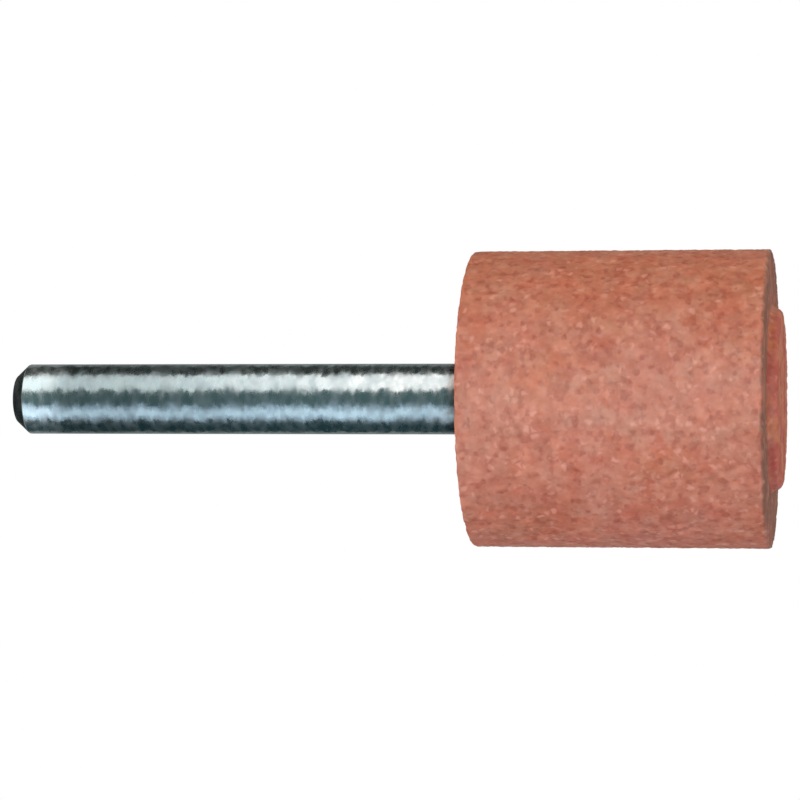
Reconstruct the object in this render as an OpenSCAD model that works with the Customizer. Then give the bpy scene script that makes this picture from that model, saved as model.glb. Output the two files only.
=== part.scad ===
// Mounted point: a cylindrical abrasive head cemented onto a steel shank.
// It stands on the raised centre of its free end, with the shank pointing up along +Z.
// The origin is the centre of that raised centre's flat face.

/* [Abrasive head] */
// Outside diameter of the abrasive cylinder
head_d = 25; // [18:0.5:40]
// Length of the abrasive cylinder between its two flat faces
head_len = 25; // [18:0.5:40]
// Edge radius on both rims of the cylinder
rim_round = 0.35; // [0.1:0.05:0.8]
// Diameter of the raised centre on the free end
boss_d = 15.2; // [10:0.2:16]
// Height of the raised centre above the free end's flat ring
boss_h = 0.9; // [0.9:0.1:1.5]
// Edge radius of the raised centre
boss_round = 0.6; // [0.1:0.05:0.6]
// Fillet radius where the raised centre grows out of the flat ring
boss_fillet = 0.25; // [0.1:0.05:0.3]

/* [Shank] */
// Diameter of the shank, which is the collet size
shank_d = 6; // [3:0.5:8]
// Length of the shank that stands out of the head
shank_len = 40; // [25:1:80]
// Length of the chamfer at the tail
tail_chamfer_len = 1.1; // [0.3:0.1:3]
// Depth of that chamfer, from the shank's wall inwards
tail_chamfer_depth = 1; // [0.3:0.1:1.3]
// Length of the shank that sits inside the head
seat_depth = 13; // [10:0.5:16]
// Width of the 45 degree edge break on the inner end
inner_chamfer = 0.4; // [0.1:0.1:0.8]

/* [Grip grooves] */
// Number of grooves around the seated end, which key it into the cement from the collar down
groove_count = 4; // [2:1:6]
// Width of each groove
groove_w = 1.2; // [0.6:0.1:1.4]
// Depth of each groove
groove_depth = 0.3; // [0.1:0.05:0.6]

/* [Cement] */
// Thickness of the cement between the shank and the bore
cement_t = 0.25; // [0.1:0.05:0.5]
// Thickness of the cement under the shank's inner end
cement_floor = 0.6; // [0.2:0.1:2]
// Reach of the squeezed-out collar past the edge of the bore
collar_reach = 0.35; // [0.1:0.05:1]
// Height of the squeezed-out collar up the shank
collar_h = 0.5; // [0.2:0.1:1]

/* [Hidden] */
$fn = 96;
// Distance by which a cutting shape passes the edge that it cuts
over = 0.05;

head_r = head_d / 2;
boss_r = boss_d / 2;
shank_r = shank_d / 2;
bore_r = shank_r + cement_t;
bore_depth = seat_depth + cement_floor;

// Heights along the axis, from the free end up to the tail
ring_z = boss_h;
back_z = ring_z + head_len;
collar_z = back_z + collar_h;
tail_z = back_z + shank_len;
seat_z = back_z - seat_depth;
bore_floor_z = back_z - bore_depth;

groove_pitch = (collar_z - seat_z - inner_chamfer) / groove_count;

function groove_top(i) = collar_z - i * groove_pitch;

// Half-section of one groove, from its upper corner down to its lower one
function groove_points(z) = [
    [shank_r, z],
    [shank_r - groove_depth, z],
    [shank_r - groove_depth, z - groove_w],
    [shank_r, z - groove_w]
];

// Half-section of the whole shank, from the tail down to the seated end
shank_points = concat(
    [[0, tail_z], [shank_r - tail_chamfer_depth, tail_z], [shank_r, tail_z - tail_chamfer_len]],
    [for (i = [0 : groove_count - 1]) each groove_points(groove_top(i))],
    [[shank_r, seat_z + inner_chamfer], [shank_r - inner_chamfer, seat_z], [0, seat_z]]
);

// What a rounded outer corner leaves over, seen from the centre of its arc
module corner_waste(round_r) {
    difference() {
        translate([0, -round_r - over]) square(round_r + over);
        circle(round_r);
    }
}

// Half-section of a disc whose lower rim is rounded
module low_rounded_section(radius, height, round_r) {
    difference() {
        square([radius, height]);
        translate([radius - round_r, round_r]) corner_waste(round_r);
    }
}

// Half-section of the abrasive cylinder, rounded on both rims
module cylinder_section() {
    difference() {
        translate([0, ring_z]) low_rounded_section(head_r, head_len, rim_round);
        translate([head_r - rim_round, back_z - rim_round]) mirror([0, 1]) corner_waste(rim_round);
    }
}

// Half-section of the raised centre, with the fillet that blends it into the flat ring
module boss_section() {
    low_rounded_section(boss_r, ring_z + over, boss_round);
    translate([boss_r + boss_fillet, ring_z - boss_fillet]) {
        difference() {
            translate([-boss_fillet - over, 0]) square([boss_fillet + over, boss_fillet + over]);
            circle(boss_fillet);
        }
    }
}

module bore_section() {
    translate([0, bore_floor_z]) square([bore_r, bore_depth + over]);
}

module abrasive_head() {
    color("#c08370") rotate_extrude() difference() {
        union() {
            cylinder_section();
            boss_section();
        }
        bore_section();
    }
}

module shank() {
    color("#a9b1b5") rotate_extrude() polygon(shank_points);
}

// Cement fills the bore and the grooves, and a small collar stands on the back face
module cement() {
    color("#94705f") rotate_extrude() difference() {
        union() {
            translate([0, bore_floor_z]) square([bore_r, bore_depth]);
            polygon([[0, back_z], [bore_r + collar_reach, back_z], [shank_r, collar_z], [0, collar_z]]);
        }
        polygon(shank_points);
    }
}

abrasive_head();
shank();
cement();
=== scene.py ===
# Mounted point: a pink abrasive cylinder with a raised centre, cemented onto a ground steel shank.
# It stands on the raised centre, shank up. The main view is turned a quarter, so +X is up in the picture.
import math

import bmesh
import bpy
from mathutils import Matrix, Vector


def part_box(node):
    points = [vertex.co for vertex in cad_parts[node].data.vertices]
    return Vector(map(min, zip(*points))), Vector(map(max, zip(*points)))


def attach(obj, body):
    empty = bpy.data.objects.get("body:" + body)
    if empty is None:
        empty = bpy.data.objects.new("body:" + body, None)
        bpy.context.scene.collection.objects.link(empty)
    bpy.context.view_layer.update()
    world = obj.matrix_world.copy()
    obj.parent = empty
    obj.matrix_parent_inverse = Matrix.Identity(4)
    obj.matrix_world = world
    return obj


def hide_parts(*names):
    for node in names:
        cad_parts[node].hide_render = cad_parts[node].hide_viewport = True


mm = 0.001
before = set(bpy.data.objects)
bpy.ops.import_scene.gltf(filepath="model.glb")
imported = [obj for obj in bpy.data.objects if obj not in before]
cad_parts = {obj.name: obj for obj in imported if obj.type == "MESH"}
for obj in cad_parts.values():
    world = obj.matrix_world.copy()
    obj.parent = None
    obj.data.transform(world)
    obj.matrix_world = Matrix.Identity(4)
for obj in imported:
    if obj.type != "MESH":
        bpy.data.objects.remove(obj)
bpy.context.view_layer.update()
headLow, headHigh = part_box("abrasive_head")
shankLow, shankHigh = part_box("shank")
cementLow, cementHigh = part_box("cement")
headR = headHigh.x
backZ = headHigh.z
shankR = shankHigh.x
tailZ = shankHigh.z
seatZ = shankLow.z
collarR = cementHigh.x
collarZ = cementHigh.z
boreFloorZ = cementLow.z
print("frame loaded:", sorted(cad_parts))


# small helpers for modelling

def clearSelection():
    if bpy.context.mode != "OBJECT":
        bpy.ops.object.mode_set(mode="OBJECT")
    bpy.ops.object.select_all(action="DESELECT")


def nameActive(name):
    piece = bpy.context.active_object
    piece.name = name
    piece.data.name = name
    bpy.ops.object.transform_apply(location=True, rotation=True, scale=True)
    return piece


def pickFaces(piece, wanted):
    bpy.ops.mesh.select_mode(type="FACE")
    bpy.ops.mesh.select_all(action="DESELECT")
    shape = bmesh.from_edit_mesh(piece.data)
    for face in shape.faces:
        face.select_set(wanted(face))
    bmesh.update_edit_mesh(piece.data)


def pickRim(piece, radius, height, slack=0.01 * mm):
    # picks the ring of edges that lies at one radius and one height
    bpy.ops.mesh.select_mode(type="EDGE")
    bpy.ops.mesh.select_all(action="DESELECT")
    shape = bmesh.from_edit_mesh(piece.data)
    for edge in shape.edges:
        onRim = [abs(v.co.z - height) < slack and abs(v.co.xy.length - radius) < slack for v in edge.verts]
        edge.select_set(all(onRim))
    bmesh.update_edit_mesh(piece.data)


def pullTo(dz):
    bpy.ops.mesh.extrude_region_move(TRANSFORM_OT_translate={"value": (0, 0, dz)})


def squeeze(factor, centre):
    bpy.ops.transform.resize(value=(factor, factor, 1), center_override=centre)


def applyAll(piece):
    bpy.context.view_layer.objects.active = piece
    for modifier in list(piece.modifiers):
        bpy.ops.object.modifier_apply(modifier=modifier.name)


# small helpers for materials

def wire(tree, kind, settings=None, inputs=None):
    # adds a node, sets its options, and links or sets its inputs
    node = tree.nodes.new(kind)
    for name, value in (settings or {}).items():
        setattr(node, name, value)
    for name, value in (inputs or {}).items():
        if isinstance(value, bpy.types.NodeSocket):
            tree.links.new(value, node.inputs[name])
        else:
            node.inputs[name].default_value = value
    return node


def mathNode(tree, operation, one, two=0.0, three=0.0):
    node = wire(tree, "ShaderNodeMath", {"operation": operation}, {0: one, 1: two, 2: three})
    return node.outputs[0]


def mixColours(tree, factor, one, two, blend="MIX"):
    settings = {"data_type": "RGBA", "blend_type": blend}
    return wire(tree, "ShaderNodeMix", settings, {0: factor, 6: one, 7: two}).outputs[2]


def multiplyColours(tree, one, two):
    return mixColours(tree, 1.0, one, two, "MULTIPLY")


def vectorNode(tree, operation, inputs):
    return wire(tree, "ShaderNodeVectorMath", {"operation": operation}, inputs).outputs[0]


def scaleVector(tree, vector, factor):
    return vectorNode(tree, "SCALE", {0: vector, "Scale": factor})


def remap(tree, value, fromLow, fromHigh, toLow=0.0, toHigh=1.0, smooth=True):
    kind = "SMOOTHSTEP" if smooth else "LINEAR"
    places = {"Value": value, "From Min": fromLow, "From Max": fromHigh, "To Min": toLow, "To Max": toHigh}
    return wire(tree, "ShaderNodeMapRange", {"interpolation_type": kind}, places).outputs["Result"]


def srgb(red, green, blue):
    # a colour as seen on a screen, 0 to 255, as the linear colour that a shader takes
    steps = [c / 255 for c in (red, green, blue)]
    return tuple(c / 12.92 if c <= 0.04045 else ((c + 0.055) / 1.055) ** 2.4 for c in steps) + (1.0,)


def newMaterial(name):
    material = bpy.data.materials.new(name)
    material.use_nodes = True
    tree = material.node_tree
    tree.nodes.clear()
    return material, tree


def finishMaterial(tree, shader):
    wire(tree, "ShaderNodeOutputMaterial", inputs={"Surface": shader.outputs[0]})


def newGroup(name, inputs, outputs):
    group = bpy.data.node_groups.new(name, "ShaderNodeTree")
    for label, kind, value in inputs:
        socket = group.interface.new_socket(label, in_out="INPUT", socket_type=kind)
        socket.default_value = value
    for label, kind in outputs:
        group.interface.new_socket(label, in_out="OUTPUT", socket_type=kind)
    return group, group.nodes.new("NodeGroupInput"), group.nodes.new("NodeGroupOutput")


def placeGroup(tree, group, **values):
    node = tree.nodes.new("ShaderNodeGroup")
    node.node_tree = group
    for label, value in values.items():
        node.inputs[label.replace("_", " ")].default_value = value
    return node


# shared effects: loose grain, and soft patches

grainLook = {
    "wobble": 0.7,                  # keeps the grains from being straight-sided, in grain sizes
    "edge": 0.36,                   # width of a grain's soft edge, in grain sizes
    "lightChance": (0.73, 0.97),    # a grain whose random number is above this range is light
    "darkChance": (0.05, 0.28),     # and below this one it is dark
    "lowest": 0.4,                  # height of the lowest grains, as a share of the highest
}
patchLook = {
    "roughness": 0.55,
    "spread": (0.3, 0.7),           # the noise values that become 0 and 1
}


def makeGrainGroup():
    floatKind = "NodeSocketFloat"
    group, given, result = newGroup(
        "grain", [("Grain size", floatKind, 0.6 * mm), ("Seed", floatKind, 0.0)],
        [("Light", floatKind), ("Dark", floatKind), ("Height", floatKind)])
    place = wire(group, "ShaderNodeTexCoord").outputs["Object"]
    perMetre = mathNode(group, "DIVIDE", 1.0, given.outputs["Grain size"])
    wobble = wire(group, "ShaderNodeTexNoise", {"noise_dimensions": "3D"},
                  {"Vector": place, "Scale": perMetre, "Detail": 1.0}).outputs["Color"]
    centred = vectorNode(group, "SUBTRACT", {0: wobble, 1: (0.5, 0.5, 0.5)})
    scaled = scaleVector(group, place, perMetre)
    seeds = {i: given.outputs["Seed"] for i in range(3)}
    shift = wire(group, "ShaderNodeCombineXYZ", inputs=seeds).outputs[0]
    moved = vectorNode(group, "MULTIPLY_ADD", {0: centred, 1: (grainLook["wobble"],) * 3, 2: scaled})
    spot = vectorNode(group, "ADD", {0: moved, 1: shift})
    cells, gaps = [
        wire(group, "ShaderNodeTexVoronoi", {"feature": feature}, {"Vector": spot, "Scale": 1.0})
        for feature in ("F1", "DISTANCE_TO_EDGE")]
    chance = wire(group, "ShaderNodeSeparateColor", inputs={"Color": cells.outputs["Color"]}).outputs
    inner = remap(group, gaps.outputs["Distance"], 0.0, grainLook["edge"])
    lightGrains = remap(group, chance["Red"], *grainLook["lightChance"])
    darkGrains = remap(group, chance["Red"], *grainLook["darkChance"], 1.0, 0.0)
    heights = remap(group, chance["Green"], 0.0, 1.0, grainLook["lowest"], 1.0, smooth=False)
    for label, value in (("Light", lightGrains), ("Dark", darkGrains), ("Height", heights)):
        group.links.new(mathNode(group, "MULTIPLY", inner, value), result.inputs[label])
    return group


def makePatchGroup():
    floatKind = "NodeSocketFloat"
    group, given, result = newGroup(
        "patches", [("Patch size", floatKind, 4 * mm), ("Detail", floatKind, 3.0), ("Seed", floatKind, 0.0),
                    ("Squash", floatKind, 1.0)],
        [("Patch", floatKind)])
    place = wire(group, "ShaderNodeTexCoord").outputs["Object"]
    perMetre = mathNode(group, "DIVIDE", 1.0, given.outputs["Patch size"])
    # above 1, the squash makes patches that are shorter along the axis than around it
    shape = wire(group, "ShaderNodeCombineXYZ", inputs={"X": 1.0, "Y": 1.0, "Z": given.outputs["Squash"]})
    spot = vectorNode(group, "MULTIPLY", {0: place, 1: shape.outputs[0]})
    noise = wire(group, "ShaderNodeTexNoise", {"noise_dimensions": "4D"},
                 {"Vector": spot, "W": given.outputs["Seed"], "Scale": perMetre,
                  "Detail": given.outputs["Detail"], "Roughness": patchLook["roughness"]})
    patch = remap(group, noise.outputs["Fac"], *patchLook["spread"], smooth=False)
    group.links.new(patch, result.inputs["Patch"])
    return group


grainGroup = makeGrainGroup()
patchGroup = makePatchGroup()
print("node groups ready")


def grains(tree, size, seed):
    return placeGroup(tree, grainGroup, Grain_size=size, Seed=seed).outputs


def patches(tree, size, detail, seed, squash=1.0):
    node = placeGroup(tree, patchGroup, Patch_size=size, Detail=detail, Seed=seed, Squash=squash)
    return node.outputs["Patch"]


# abrasive head

head = {
    "segments": 192,
    "ringZ": 0.9 * mm,          # the free end's flat ring, above the raised centre's face
    "bossR": 7.6 * mm,
    "boreR": 3.25 * mm,
    "rimRound": 0.25 * mm,      # smoothing after the remesh rounds it a little more
    "bossRound": 0.6 * mm,
    "bossFillet": 0.25 * mm,
    "roundSteps": 4,
    "bossSlack": 0.02 * mm,     # how near an edge has to lie to the raised centre's rims to be picked
    "voxel": 0.205 * mm,
    "smoothing": (0.5, 3),      # strength and rounds
    "grainSize": 0.5 * mm,      # size of a grain in the relief
    "gapDepth": 0.08 * mm,      # how far the gaps between grains lie back
    "poreSize": 0.9 * mm,
    "poreDepth": 0.10 * mm,
    "poreDetail": 2,
    "poreNoise": (0.55, 0.75),  # the noise values where a pore begins and where it is deepest
    "hollowBlur": 0.5,
}


def reliefTexture(name, kind, size):
    texture = bpy.data.textures.new(name, kind)
    texture.noise_scale = size
    return texture


def addRelief(piece, texture, depth):
    # only ever inwards, so the grains' tops stay on the real surface
    relief = piece.modifiers.new(texture.name, "DISPLACE")
    relief.texture = texture
    relief.texture_coords = "LOCAL"
    relief.direction = "NORMAL"
    relief.mid_level = 0.0
    relief.strength = -depth


def modelHead():
    clearSelection()
    length = backZ - head["ringZ"]
    flatEnough = 0.9            # of a face's normal along the axis
    bpy.ops.mesh.primitive_cylinder_add(vertices=head["segments"], radius=headR, depth=length,
                                        location=(0, 0, head["ringZ"] + length / 2))
    piece = nameActive("abrasive_grinding_head")
    bpy.ops.object.mode_set(mode="EDIT")
    pickFaces(piece, lambda f: f.normal.z < -flatEnough)      # raised centre
    bpy.ops.mesh.inset(thickness=headR - head["bossR"])
    pullTo(headLow.z - head["ringZ"])
    pickFaces(piece, lambda f: f.normal.z > flatEnough)       # bore for the shank
    bpy.ops.mesh.inset(thickness=headR - head["boreR"])
    pullTo(boreFloorZ - backZ)
    slack = head["bossSlack"]
    pickRim(piece, headR, head["ringZ"])
    bpy.ops.mesh.bevel(offset=head["rimRound"], segments=head["roundSteps"])
    pickRim(piece, headR, backZ)
    bpy.ops.mesh.bevel(offset=head["rimRound"], segments=head["roundSteps"])
    pickRim(piece, head["bossR"], headLow.z, slack)
    bpy.ops.mesh.bevel(offset=head["bossRound"], segments=head["roundSteps"])
    pickRim(piece, head["bossR"], head["ringZ"], slack)
    bpy.ops.mesh.bevel(offset=head["bossFillet"], segments=head["roundSteps"])
    bpy.ops.object.mode_set(mode="OBJECT")
    piece.data.remesh_voxel_size = head["voxel"]
    bpy.ops.object.voxel_remesh()
    even = piece.modifiers.new("even", "SMOOTH")
    even.factor, even.iterations = head["smoothing"]

    gaps = reliefTexture("grainGaps", "VORONOI", head["grainSize"])
    pores = reliefTexture("pores", "CLOUDS", head["poreSize"])
    pores.noise_depth = head["poreDetail"]
    pores.use_color_ramp = True
    for stop, position, shade in zip(pores.color_ramp.elements, head["poreNoise"], (0, 1)):
        stop.position = position
        stop.color = (shade, shade, shade, 1)
    addRelief(piece, gaps, head["gapDepth"])
    addRelief(piece, pores, head["poreDepth"])
    applyAll(piece)
    bpy.ops.object.shade_smooth()
    markHollows(piece)
    return piece


def markHollows(piece):
    # keeps in a colour attribute how deep each point lies between the grains
    piece.data.color_attributes.new("hollows", "FLOAT_COLOR", "POINT")
    piece.data.attributes.active_color_name = "hollows"
    bpy.ops.object.mode_set(mode="VERTEX_PAINT")
    bpy.ops.paint.vertex_color_dirt(blur_strength=head["hollowBlur"], blur_iterations=1,
                                    dirt_only=False, normalize=True)
    bpy.ops.object.mode_set(mode="OBJECT")


abrasive = {
    "pink": srgb(209, 141, 120),
    "orange": srgb(207, 128, 94),
    "red": srgb(200, 114, 91),
    "sand": srgb(214, 153, 128),
    "lightGrain": srgb(246, 184, 166),
    "darkGrain": srgb(158, 66, 46),
    "darkTone": (0.88, 0.81, 0.76, 1.0),    # what a darker and a lighter clump make of the colour
    "lightTone": (1.12, 1.19, 1.24, 1.0),
    "warmTint": (1.075, 0.945, 0.90, 1.0),  # patches that are only warmer or cooler
    "coolTint": (0.925, 1.055, 1.10, 1.0),
    "hollowShade": (0.96, 0.87, 0.83, 1.0),  # painted shade between the grains, and painted light on their tops
    "grainTopLight": (1.02, 1.025, 1.03, 1.0),
    "ring": srgb(169, 119, 97),
    "ringDark": srgb(132, 92, 74),
    "boss": srgb(188, 100, 85),
    "bossOrange": srgb(209, 137, 99),
    "broad": (8 * mm, 2.0, 0.0),    # colour patches: size, detail and seed
    "drift": (2.4 * mm, 3.0, 5.0),
    "tint": (1.7 * mm, 3.0, 12.0),
    "clump": (1.1 * mm, 2.0, 7.0),
    "mark": (0.55 * mm, 0.5, 8.0),
    "coarse": (0.6 * mm, 2.0),      # grains: size and seed
    "fine": (0.38 * mm, 11.0),
    "redderAt": (0.35, 0.95),       # where in a patch the redder and the sandier grain begins and is fullest
    "redderMost": 0.55,
    "sandierAt": (0.4, 0.95),
    "sandierMost": 0.35,
    "markAt": (0.5, 1.0),
    "markMost": 0.56,
    "markLeast": 0.6,               # what a mark keeps of its strength between two grains
    "markFull": 0.8,                # the grain height from which it keeps all of it
    "lightMost": 0.54,
    "fineLightMost": 0.12,
    "fineDarkMost": 0.08,
    "hollowAt": (0.3, 0.6),         # from a hollow to a grain's top, in the colour attribute
    "endFrom": head["ringZ"] + 0.2 * mm,    # the free end's colours fade out up the side
    "endTo": head["ringZ"] + 0.5 * mm,
    "endRagged": 0.2 * mm,
    "endCalm": 0.6,                 # how much of the grain's contrast the free end keeps
    "bossFrom": head["bossR"] + 0.3 * mm,
    "bossTo": head["bossR"] + 0.6 * mm,
    "bossRagged": 0.4 * mm,
    "bossMix": (0.3, 0.7),
    "bossFace": 0.15 * mm,          # painted light on the raised centre below this height, and painted shade on its wall above the next
    "bossFoot": 0.7 * mm,
    "bossLightAndShade": (1.12, 0.96),
    "rough": (0.62, 0.58),
    "bumpStrength": 0.05,
    "bumpDepth": 0.04 * mm,
    "shine": 0.35,
}


def abrasiveMaterial():
    material, tree = newMaterial("vitrified_pink_grain")
    broad, drift, tint, clump, marks = [
        patches(tree, *abrasive[name]) for name in ("broad", "drift", "tint", "clump", "mark")]
    coarse = grains(tree, *abrasive["coarse"])
    fine = grains(tree, *abrasive["fine"])
    hollows = wire(tree, "ShaderNodeVertexColor", {"layer_name": "hollows"}).outputs["Color"]
    depth = wire(tree, "ShaderNodeSeparateColor", inputs={"Color": hollows}).outputs["Red"]
    place = wire(tree, "ShaderNodeTexCoord").outputs["Object"]
    axes = wire(tree, "ShaderNodeSeparateXYZ", inputs={0: place}).outputs
    flat = wire(tree, "ShaderNodeCombineXYZ", inputs={"X": axes["X"], "Y": axes["Y"]}).outputs[0]
    radius = wire(tree, "ShaderNodeVectorMath", {"operation": "LENGTH"}, {0: flat}).outputs["Value"]

    side = mixColours(tree, broad, abrasive["pink"], abrasive["orange"])
    # the free end: a greyer ring, and a redder raised centre
    ragged = mathNode(tree, "MULTIPLY_ADD", clump, abrasive["endRagged"], axes["Z"])
    onEnd = remap(tree, ragged, abrasive["endFrom"], abrasive["endTo"], 1.0, 0.0)
    inside = mathNode(tree, "MULTIPLY_ADD", clump, abrasive["bossRagged"], radius)
    onBoss = remap(tree, inside, abrasive["bossFrom"], abrasive["bossTo"], 1.0, 0.0)
    ringColour = mixColours(tree, drift, abrasive["ringDark"], abrasive["ring"])
    orangeShare = remap(tree, drift, *abrasive["bossMix"])
    bossColour = mixColours(tree, orangeShare, abrasive["boss"], abrasive["bossOrange"])
    # painted light on the raised centre's face and painted shade on its wall
    bossLitAndShaded = remap(tree, axes["Z"], abrasive["bossFace"], abrasive["bossFoot"], *abrasive["bossLightAndShade"])
    ground = mixColours(tree, onEnd, side, ringColour)
    ground = mixColours(tree, mathNode(tree, "MULTIPLY", onEnd, onBoss), ground,
                        scaleVector(tree, bossColour, bossLitAndShaded))

    # clumps of redder and of sandier grain, then warmer and darker patches
    calm = remap(tree, onEnd, 0.0, 1.0, 1.0, abrasive["endCalm"], smooth=False)
    redder = remap(tree, drift, *abrasive["redderAt"], 0.0, abrasive["redderMost"])
    sandier = remap(tree, clump, *abrasive["sandierAt"], 0.0, abrasive["sandierMost"])
    mixed = mixColours(tree, mathNode(tree, "MULTIPLY", redder, calm), ground, abrasive["red"])
    mixed = mixColours(tree, mathNode(tree, "MULTIPLY", sandier, calm), mixed, abrasive["sand"])
    warmth = mixColours(tree, tint, abrasive["coolTint"], abrasive["warmTint"])
    tone = mixColours(tree, clump, abrasive["darkTone"], abrasive["lightTone"])
    mixed = multiplyColours(tree, multiplyColours(tree, mixed, warmth), tone)

    # single dark and light grains, then painted shade in the hollows between them and painted light on their
    # tops
    uneven = remap(tree, coarse["Height"], 0.0, abrasive["markFull"], abrasive["markLeast"], 1.0)
    marked = remap(tree, marks, *abrasive["markAt"], 0.0, abrasive["markMost"])
    for share, colour in (
            (mathNode(tree, "MULTIPLY", marked, uneven), "darkGrain"),
            (mathNode(tree, "MULTIPLY", coarse["Light"], abrasive["lightMost"]), "lightGrain"),
            (mathNode(tree, "MULTIPLY", fine["Light"], abrasive["fineLightMost"]), "lightGrain"),
            (mathNode(tree, "MULTIPLY", fine["Dark"], abrasive["fineDarkMost"]), "darkGrain")):
        mixed = mixColours(tree, mathNode(tree, "MULTIPLY", share, calm), mixed, abrasive[colour])
    raised = remap(tree, depth, *abrasive["hollowAt"], smooth=False)
    # painted shade in the hollows, painted light on the grains' tops
    shade = mixColours(tree, raised, abrasive["hollowShade"], abrasive["grainTopLight"])
    mixed = multiplyColours(tree, mixed, shade)

    rough = remap(tree, fine["Height"], 0.0, 1.0, *abrasive["rough"], smooth=False)
    bump = wire(tree, "ShaderNodeBump", inputs={
        "Height": fine["Height"], "Strength": abrasive["bumpStrength"], "Distance": abrasive["bumpDepth"]})
    shader = wire(tree, "ShaderNodeBsdfPrincipled", inputs={
        "Base Color": mixed, "Roughness": rough, "Normal": bump.outputs[0],
        "Specular IOR Level": abrasive["shine"]})
    finishMaterial(tree, shader)
    return material


headPiece = modelHead()
headPiece.data.materials.clear()
headPiece.data.materials.append(abrasiveMaterial())
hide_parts("abrasive_head")
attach(headPiece, "root")
print("head:", len(headPiece.data.polygons), "faces")


# shank

shank = {
    "segments": 160,
    "chamferLength": 1.1 * mm,
    "chamferDepth": 1.0 * mm,
    "edgeSoft": 0.06 * mm,
    "softSteps": 3,
    "innerChamfer": 0.4 * mm,
    "grooves": 4,
    "grooveW": 1.2 * mm,
    "grooveDepth": 0.3 * mm,
    "sharpFrom": 35,            # degrees between two faces from which their edge stays sharp
}


def grooveStations():
    # the grooved seat, as radius and height, from the collar down to the inner end
    pitch = (collarZ - seatZ - shank["innerChamfer"]) / shank["grooves"]
    neck = shankR - shank["grooveDepth"]
    stations = []
    for i in range(shank["grooves"]):
        top = collarZ - i * pitch
        low = top - shank["grooveW"]
        stations += [(shankR, top), (neck, top), (neck, low), (shankR, low)]
    return stations + [(shankR, seatZ + shank["innerChamfer"]), (shankR - shank["innerChamfer"], seatZ)]


def turnProfile(start, stations):
    # draws the selected ring out along a list of radius and height, as on a lathe
    radius, height = start
    for nextRadius, nextHeight in stations:
        pullTo(nextHeight - height)
        squeeze(nextRadius / radius, (0, 0, nextHeight))
        radius, height = nextRadius, nextHeight


def modelShank():
    clearSelection()
    tailRim = (shankR - shank["chamferDepth"], tailZ)
    chamferRim = (shankR, tailZ - shank["chamferLength"])
    bpy.ops.mesh.primitive_circle_add(vertices=shank["segments"], radius=tailRim[0], fill_type="NGON",
                                      location=(0, 0, tailZ))
    piece = nameActive("steel_shank")
    bpy.ops.object.mode_set(mode="EDIT")
    bpy.ops.mesh.select_all(action="SELECT")
    turnProfile(tailRim, [chamferRim] + grooveStations())
    bpy.ops.mesh.select_all(action="SELECT")
    bpy.ops.mesh.normals_make_consistent(inside=False)
    for rim in (chamferRim, tailRim):
        pickRim(piece, *rim)
        bpy.ops.mesh.bevel(offset=shank["edgeSoft"], segments=shank["softSteps"])
    bpy.ops.object.mode_set(mode="OBJECT")
    bpy.ops.object.shade_smooth_by_angle(angle=math.radians(shank["sharpFrom"]))
    return piece


steel = {
    "bright": srgb(222, 229, 229),
    "dull": srgb(204, 214, 216),
    "tailHighlight": srgb(250, 252, 251),       # a painted highlight on the last millimetres at the tail
    "tailHighlightFrom": tailZ - 4.9 * mm,
    "tailHighlightTo": tailZ - 2.1 * mm,
    "tailHighlightRagged": 0.8 * mm,
    "junctionShade": srgb(112, 90, 76),          # painted shade on the wall just above the collar, in a cement brown
    "junctionShadeFrom": backZ + 1.7 * mm,
    "junctionShadeTo": backZ + 3.0 * mm,
    "junctionShadeRagged": 0.9 * mm,
    "junctionShadeMost": 0.75,
    "tailDarkFrom": backZ + 12.1 * mm,      # the wall's colour darkens towards the tail
    "tailDarkTo": tailZ - 5.9 * mm,
    "tailDarkMost": 0.70,                   # down to this share of its colour
    "endShade": 0.62,                   # painted shade: the chamfer and tail face are darker than the ground wall
    "endBlend": 0.1 * mm,
    "blotch": (2.2 * mm, 2.0, 2.0),     # patches: size, detail, seed and squash
    "mottle": (0.9 * mm, 2.0, 6.0),
    "ripple": (0.75 * mm, 2.0, 3.0),    # slight waves left by the grinding
    "mark": (1.7 * mm, 3.0, 4.0, 2.6),  # grinding marks, longer around the shank than along it
    "speck": (0.9 * mm, 0.5, 5.0, 1.8),     # small rougher and smoother spots
    "wearColour": (0.2, 0.8),           # wear where the wall begins to be dull and where it fully is
    "wearRough": (0.3, 0.75),           # and the same for its roughness
    "rough": (0.25, 0.32),
    "speckRough": 0.078,
    "rippleDepth": 0.008 * mm,
    "markLean": 0.088,                  # how far the marks lean, which breaks the mirrored edges
}


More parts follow.
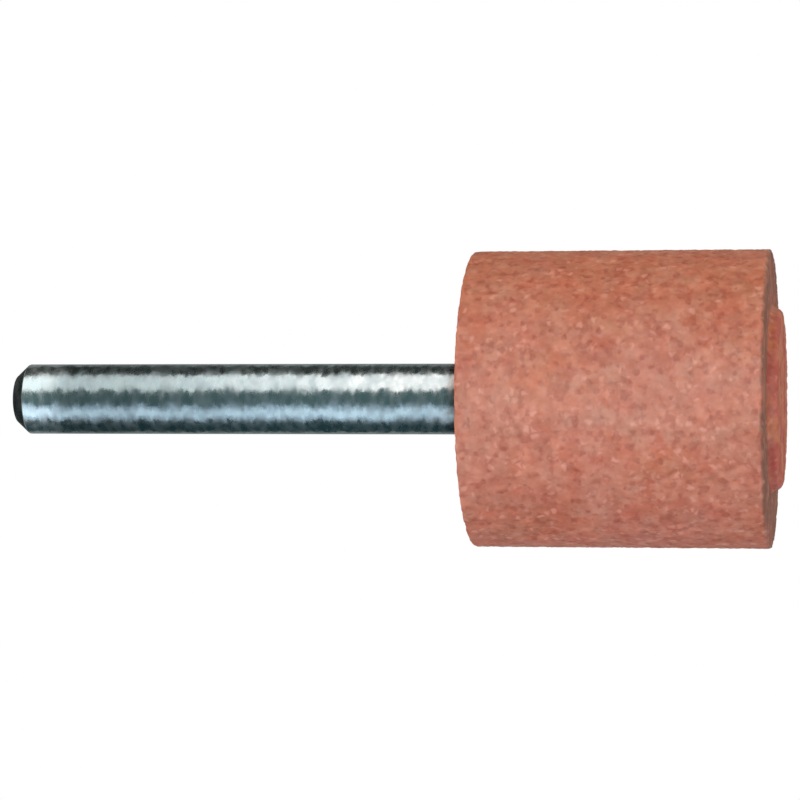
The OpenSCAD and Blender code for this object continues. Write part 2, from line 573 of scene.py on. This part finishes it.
def steelMaterial():
    material, tree = newMaterial("ground_steel")
    blotch, mottle, ripple, marks, speck = [
        patches(tree, *steel[name]) for name in ("blotch", "mottle", "ripple", "mark", "speck")]
    place = wire(tree, "ShaderNodeTexCoord").outputs["Object"]
    height = wire(tree, "ShaderNodeSeparateXYZ", inputs={0: place}).outputs["Z"]
    wear = mathNode(tree, "MULTIPLY_ADD", blotch, 0.5, mathNode(tree, "MULTIPLY", mottle, 0.5))

    colour = mixColours(tree, remap(tree, wear, *steel["wearColour"]), steel["bright"], steel["dull"])
    tailDarkening = remap(tree, height, steel["tailDarkFrom"], steel["tailDarkTo"], 1.0, steel["tailDarkMost"])
    colour = scaleVector(tree, colour, tailDarkening)
    # a painted highlight near the tail
    tailHighlightHeight = mathNode(tree, "MULTIPLY_ADD", mottle, steel["tailHighlightRagged"], height)
    tailHighlighted = remap(tree, tailHighlightHeight, steel["tailHighlightFrom"], steel["tailHighlightTo"])
    colour = mixColours(tree, tailHighlighted, colour, steel["tailHighlight"])
    # painted shade on the chamfer and tail face
    endZ = tailZ - shank["chamferLength"]
    tailShaded = remap(tree, height, endZ, endZ + steel["endBlend"], 1.0, steel["endShade"])
    colour = scaleVector(tree, colour, tailShaded)
    # painted shade where the shank meets the head
    junctionShadeHeight = mathNode(tree, "MULTIPLY_ADD", mottle, steel["junctionShadeRagged"], height)
    junctionShaded = remap(tree, junctionShadeHeight, steel["junctionShadeFrom"], steel["junctionShadeTo"], steel["junctionShadeMost"], 0.0)
    colour = mixColours(tree, junctionShaded, colour, steel["junctionShade"])

    speckRough = remap(tree, speck, 0.0, 1.0, -steel["speckRough"], steel["speckRough"], smooth=False)
    rough = mathNode(tree, "ADD", remap(tree, wear, *steel["wearRough"], *steel["rough"]), speckRough)
    # the surface leans only to either side around the axis
    lean = remap(tree, marks, 0.0, 1.0, -steel["markLean"], steel["markLean"], smooth=False)
    bump = wire(tree, "ShaderNodeBump", inputs={
        "Height": ripple, "Strength": 1.0, "Distance": steel["rippleDepth"]}).outputs[0]
    around = vectorNode(tree, "CROSS_PRODUCT", {0: (0, 0, 1), 1: bump})
    leaning = vectorNode(tree, "ADD", {0: bump, 1: scaleVector(tree, around, lean)})
    normal = vectorNode(tree, "NORMALIZE", {0: leaning})
    shader = wire(tree, "ShaderNodeBsdfPrincipled", inputs={
        "Base Color": colour, "Metallic": 1.0, "Roughness": rough, "Normal": normal})
    finishMaterial(tree, shader)
    return material


shankPiece = modelShank()
shankPiece.data.materials.clear()
shankPiece.data.materials.append(steelMaterial())
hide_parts("shank")
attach(shankPiece, "root")
print("shank:", len(shankPiece.data.polygons), "faces")


# cement

cement = {
    "segments": 96,
    "lipSteps": 6,
    "lipSlack": 0.01 * mm,      # how near a point has to lie to the lip to be picked with it
    "sink": 0.12 * mm,          # the collar's foot reaches down between the head's grains
    "wander": 0.16 * mm,        # how uneven the squeezed-out lip is
    "wanderSize": 1.6 * mm,
    "dark": srgb(120, 84, 70),
    "light": srgb(166, 128, 110),
    "grain": (0.2 * mm, 3.0),           # size and seed
    "blotch": (0.8 * mm, 3.0, 9.0),     # size, detail and seed
    "darkMost": 0.5,
    "rough": 0.85,
    "bumpStrength": 0.5,
    "bumpDepth": 0.04 * mm,
    "sharpFrom": 50,            # degrees between two faces from which their edge stays sharp
}


def modelCement():
    clearSelection()
    seat = grooveStations()
    neckRim = seat[1]
    boreR = head["boreR"]
    bpy.ops.mesh.primitive_circle_add(vertices=cement["segments"], radius=neckRim[0], fill_type="NOTHING",
                                      location=(0, 0, neckRim[1]))
    piece = nameActive("cement_sleeve")
    bpy.ops.object.mode_set(mode="EDIT")
    bpy.ops.mesh.select_all(action="SELECT")
    lip = []
    for i in range(cement["lipSteps"] + 1):
        turn = math.pi / 2 * i / cement["lipSteps"]           # a hollow curve from the shank out to the head
        lipR = collarR - (collarR - shankR) * math.cos(turn)
        lipZ = collarZ - (collarZ - backZ) * math.sin(turn)
        lip.append((lipR, lipZ))
    foot = backZ - cement["sink"]
    turnProfile(neckRim, lip + [(collarR, foot), (boreR, foot), (boreR, boreFloorZ)])
    bpy.ops.mesh.edge_face_add()
    pickRim(piece, *neckRim)
    turnProfile(neckRim, seat[2:])
    bpy.ops.mesh.edge_face_add()
    bpy.ops.mesh.select_all(action="SELECT")
    bpy.ops.mesh.normals_make_consistent(inside=False)
    # only the lip wanders
    bpy.ops.mesh.select_mode(type="VERT")
    bpy.ops.mesh.select_all(action="DESELECT")
    shape = bmesh.from_edit_mesh(piece.data)
    slack = cement["lipSlack"]
    for vertex in shape.verts:
        vertex.select_set(vertex.co.z > foot - slack and vertex.co.xy.length > boreR - slack)
    bmesh.update_edit_mesh(piece.data)
    bpy.ops.object.vertex_group_add()
    bpy.ops.object.vertex_group_assign()
    bpy.ops.object.mode_set(mode="OBJECT")
    wander = piece.modifiers.new("wander", "DISPLACE")
    wander.texture = reliefTexture("lipWander", "CLOUDS", cement["wanderSize"])
    wander.texture_coords = "LOCAL"
    wander.vertex_group = piece.vertex_groups[0].name
    wander.mid_level = 0.5
    wander.strength = cement["wander"]
    applyAll(piece)
    bpy.ops.object.shade_smooth_by_angle(angle=math.radians(cement["sharpFrom"]))
    return piece


def cementMaterial():
    material, tree = newMaterial("set_cement")
    grain = grains(tree, *cement["grain"])
    blotch = patches(tree, *cement["blotch"])
    colour = mixColours(tree, blotch, cement["dark"], cement["light"])
    darker = mathNode(tree, "MULTIPLY", grain["Dark"], cement["darkMost"])
    colour = mixColours(tree, darker, colour, cement["dark"])
    bump = wire(tree, "ShaderNodeBump", inputs={
        "Height": grain["Height"], "Strength": cement["bumpStrength"], "Distance": cement["bumpDepth"]})
    shader = wire(tree, "ShaderNodeBsdfPrincipled", inputs={
        "Base Color": colour, "Roughness": cement["rough"], "Normal": bump.outputs[0]})
    finishMaterial(tree, shader)
    return material


cementPiece = modelCement()
cementPiece.data.materials.clear()
cementPiece.data.materials.append(cementMaterial())
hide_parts("cement")
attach(cementPiece, "root")
print("cement:", len(cementPiece.data.polygons), "faces")


# stage: floor seen only from above, dark and pale cards that only the steel mirrors, lamps and world

stage = {
    "floorSize": 3.0,
    "floorColour": srgb(232, 238, 242),
    "fadeStart": 0.05,          # away from the part the floor fades to white
    "fadeEnd": 0.30,
    "fadeLeast": 0.12,
    "warmSide": (0.577, 0.48, 0.34, 1.0),   # soft light from all round, warmer from +X
    "coolSide": (0.577, 0.57, 0.66, 1.0),
    "cardDistance": 1.2,
    "cardLow": -1.2,            # the cards' foot, the height where the upper ones begin, and their top
    "cardSplit": -0.02,
    "cardTop": 1.2,
    "cardSteps": 8,
    "ceilingSides": 32,
    "lampSoftness": 40,         # degrees
}
paleHeights = (0.22, 0.45)      # heights between which the upper cards change colour
flagHeights = (0.55, 0.75)
backHeights = (0.45, 0.60)
farGrey = (0.20, 0.21, 0.21, 1)
# name, angles from and to, colour low and high, and the heights of the change, if there is one
upperCards = [
    ("viewer_flag", -23, 29, (0.065, 0.12, 0.125, 1), None, paleHeights),
    ("bright_card", 30, 82, (1.66, 1.53, 1.48, 1), (0.85, 1.00, 1.03, 1), paleHeights),
    ("upper_flag", 85, 140, (0.023, 0.031, 0.028, 1), farGrey, flagHeights),
    ("lower_flag", -140, -74, (0.008, 0.034, 0.040, 1), farGrey, flagHeights),
    ("back_card", 140, 220, (0.22, 0.25, 0.25, 1), (0.02, 0.03, 0.028, 1), backHeights),
    ("blue_inner", -35, -23, (0.34, 0.46, 0.55, 1), (0.40, 0.54, 0.65, 1), paleHeights),
    ("blue_card", -62, -35, (0.66, 0.85, 1.00, 1), (0.78, 1.00, 1.18, 1), paleHeights),
    ("blue_outer", -73, -62, (0.30, 0.43, 0.52, 1), (0.36, 0.51, 0.62, 1), paleHeights),
]
stripDark = (0.06, 0.09, 0.095, 1)
stripMid = (0.25, 0.29, 0.30, 1)
stripPale = (0.6, 0.63, 0.64, 1)
# the lower cards: four dark strips with soft sides and white gaps, for views from higher up
strips = 4
stripParts = [
    ("core", -14, 14, stripDark),
    ("left", -24, -14, stripMid),
    ("right", 14, 24, stripMid),
    ("far_left", -34, -24, stripPale),
    ("far_right", 24, 34, stripPale),
]
# name, centre, radius and colour
ceilings = [
    ("tail_flag", (0, 0.5, stage["cardTop"]), 0.8, (0.015, 0.022, 0.021, 1)),
    ("grey_ceiling", (0, 0, stage["cardTop"] + 0.02), 2.5, farGrey),
]
white = (1.0, 1.0, 1.0)
# name, strength, colour, the way it shines, and the one piece it gives a sheen, if there is one
lamps = [
    ("key", 0.84, (1.0, 1.05, 1.10), (-0.2, 1, 0.1), None),
    ("sheen", 4.6, white, (0, 1, 0.1), headPiece),
    ("top", 0.9, white, (0.15, 0.1, -1), None),
    ("back", 0.9, white, (0.05, -1, -0.35), None),
]


def makeFloor():
    clearSelection()
    bpy.ops.mesh.primitive_plane_add(size=stage["floorSize"], location=(0, 0, 0))
    floor = nameActive("floor")
    material, tree = newMaterial("pale_floor")
    place = wire(tree, "ShaderNodeTexCoord").outputs["Object"]
    away = wire(tree, "ShaderNodeVectorMath", {"operation": "LENGTH"}, {0: place}).outputs["Value"]
    fade = remap(tree, away, stage["fadeStart"], stage["fadeEnd"], stage["fadeLeast"], 1.0)
    pale = wire(tree, "ShaderNodeBsdfDiffuse", inputs={"Color": stage["floorColour"]})
    glow = wire(tree, "ShaderNodeEmission", inputs={"Strength": 1.0})
    top = wire(tree, "ShaderNodeMixShader", inputs={0: fade, 1: pale.outputs[0], 2: glow.outputs[0]})
    under = wire(tree, "ShaderNodeBsdfTransparent")
    side = wire(tree, "ShaderNodeNewGeometry").outputs["Backfacing"]
    shown = wire(tree, "ShaderNodeMixShader", inputs={0: side, 1: top.outputs[0], 2: under.outputs[0]})
    finishMaterial(tree, shown)
    floor.data.materials.append(material)
    floor.visible_diffuse = False
    floor.visible_glossy = False
    floor.visible_transmission = False
    floor.visible_shadow = False


def makeCard(name, fromAngle, toAngle, foot, top, colour, topColour=None, heights=(0.0, 1.0)):
    # an upright curved card that only mirrors show, placed by its angles from the viewer's side towards +X
    clearSelection()
    reach = stage["cardDistance"]
    start = math.radians(fromAngle)
    bpy.ops.mesh.primitive_plane_add(size=1, location=(0, 0, 0))
    card = nameActive(name)
    bpy.ops.object.mode_set(mode="EDIT")
    bpy.ops.mesh.select_all(action="SELECT")
    bpy.ops.mesh.merge(type="CENTER")
    bpy.ops.transform.translate(value=(reach * math.sin(start), -reach * math.cos(start), foot))
    pullTo(top - foot)
    bpy.ops.mesh.select_all(action="SELECT")
    # spin turns the other way round the axis
    bpy.ops.mesh.spin(steps=stage["cardSteps"], angle=math.radians(fromAngle - toAngle),
                      center=(0, 0, 0), axis=(0, 0, 1))
    bpy.ops.object.mode_set(mode="OBJECT")
    paintCard(card, colour, topColour, heights)


def makeCeiling(name, centre, radius, colour):
    clearSelection()
    bpy.ops.mesh.primitive_circle_add(vertices=stage["ceilingSides"], radius=radius, fill_type="NGON",
                                      location=centre)
    paintCard(nameActive(name), colour)


def paintCard(card, colour, topColour=None, heights=(0.0, 1.0)):
    material, tree = newMaterial(card.name + "_paint")
    place = wire(tree, "ShaderNodeTexCoord").outputs["Object"]
    height = wire(tree, "ShaderNodeSeparateXYZ", inputs={0: place}).outputs["Z"]
    shade = mixColours(tree, remap(tree, height, *heights), colour, topColour or colour)
    finishMaterial(tree, wire(tree, "ShaderNodeEmission", inputs={"Color": shade, "Strength": 1.0}))
    card.data.materials.append(material)
    card.visible_camera = False
    card.visible_diffuse = False
    card.visible_transmission = False
    card.visible_shadow = False


def makeSun(name, strength, colour, towards, sheenOn):
    data = bpy.data.lights.new(name, "SUN")
    data.energy = strength
    data.color = colour
    data.angle = math.radians(stage["lampSoftness"])
    lamp = bpy.data.objects.new(name, data)
    lamp.rotation_euler = Vector(towards).to_track_quat("-Z", "Y").to_euler()
    bpy.context.scene.collection.objects.link(lamp)
    if sheenOn:
        # a lamp that only gives one piece its soft sheen
        lamp.visible_diffuse = False
        only = bpy.data.collections.new(name + "_only")
        only.objects.link(sheenOn)
        lamp.light_linking.receiver_collection = only
    else:
        lamp.visible_glossy = False


def makeWorld():
    world = bpy.data.worlds.new("studio")
    bpy.context.scene.world = world
    world.use_nodes = True
    tree = world.node_tree
    tree.nodes.clear()
    rays = wire(tree, "ShaderNodeLightPath").outputs
    seen = mathNode(tree, "MAXIMUM", rays["Is Camera Ray"],
                    mathNode(tree, "MAXIMUM", rays["Is Glossy Ray"], rays["Is Transmission Ray"]))
    heading = wire(tree, "ShaderNodeTexCoord").outputs["Generated"]
    sideways = wire(tree, "ShaderNodeSeparateXYZ", inputs={0: heading}).outputs["X"]
    warmth = remap(tree, sideways, -1.0, 1.0, smooth=False)
    ambient = mixColours(tree, warmth, stage["coolSide"], stage["warmSide"])
    colour = mixColours(tree, seen, ambient, (1, 1, 1, 1))
    sky = wire(tree, "ShaderNodeBackground", inputs={"Color": colour, "Strength": 1.0})
    wire(tree, "ShaderNodeOutputWorld", inputs={"Surface": sky.outputs[0]})


makeFloor()
cardLow, split, cardTop = stage["cardLow"], stage["cardSplit"], stage["cardTop"]
for name, start, end, colour, topColour, heights in upperCards:
    makeCard(name, start, end, split, cardTop, colour, topColour, heights)
for ceiling in ceilings:
    makeCeiling(*ceiling)
for i in range(strips):
    middle = 360 / strips * i
    for part, start, end, colour in stripParts:
        makeCard("strip_%d_%s" % (i + 1, part), middle + start, middle + end, cardLow, split, colour)
for lamp in lamps:
    makeSun(*lamp)
makeWorld()
print("stage set")


# camera, where the photograph's was: level with the axis, a little past the free end

camera = {
    "distance": 270.9 * mm,     # from the tool's axis
    "height": -14.74 * mm,
    "turn": 9.870,              # degrees, towards the shank
    "lens": 145.71,
    "sensor": 36,
    "lift": -0.0012,            # share of the frame by which the picture is moved up
    "clip": (0.01, 10),
}


def makeCamera():
    data = bpy.data.cameras.new("camera")
    data.lens = camera["lens"]
    data.sensor_width = camera["sensor"]
    data.shift_y = camera["lift"]
    data.clip_start, data.clip_end = camera["clip"]
    eye = bpy.data.objects.new("camera", data)
    turn = math.radians(camera["turn"])
    right = Vector((0, math.sin(turn), -math.cos(turn)))
    up = Vector((1, 0, 0))
    back = right.cross(up)
    facing = Matrix((right, up, back)).transposed().to_4x4()
    eye.matrix_world = Matrix.Translation((0, -camera["distance"], camera["height"])) @ facing
    bpy.context.scene.collection.objects.link(eye)
    bpy.context.scene.camera = eye


makeCamera()
bpy.context.scene.view_settings.view_transform = "Standard"
